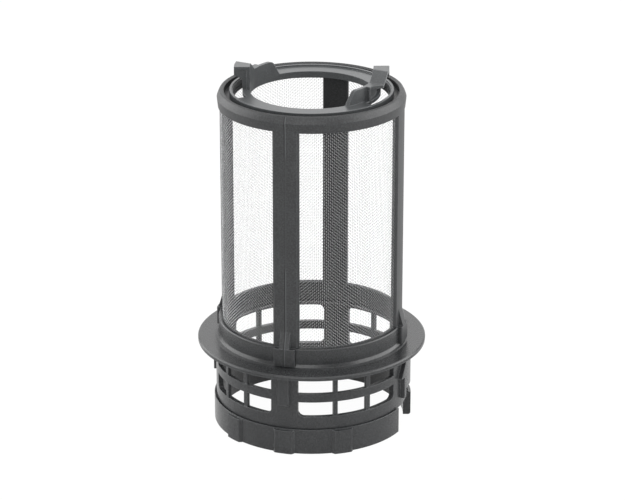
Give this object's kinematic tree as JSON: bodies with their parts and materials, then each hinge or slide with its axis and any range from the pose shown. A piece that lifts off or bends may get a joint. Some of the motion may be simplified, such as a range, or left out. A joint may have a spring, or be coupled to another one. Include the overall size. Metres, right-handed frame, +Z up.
{
  "type": "dishwasher filter",
  "caption": "Cylindrical dishwasher filter: fine mesh in a strutted plastic frame with a finger-grip ring on top, clipped into a flanged lower cage with windows and a lobed foot ring",
  "frame": {"origin": "on the axis of the cylinder, at the foot of the lobed ring", "axes": "+Z up along the cylinder; the struts stand on the X and Y axes, the opening of the foot ring faces +X, and the picture is taken from -Y turned 16 degrees towards +X"},
  "size_m": [0.095, 0.095, 0.1532],
  "materials": {
    "cage_plastic": "satin moulded",
    "frame_plastic": "satin moulded",
    "mesh_cloth": "plain woven monofilament",
    "grip_plastic": "satin moulded"
  },
  "bodies": {
    "root": {"lower_cage": "cage_plastic", "mesh_frame": "frame_plastic", "filter_mesh": "mesh_cloth", "handle_ring": "grip_plastic"}
  },
  "joints": []
}
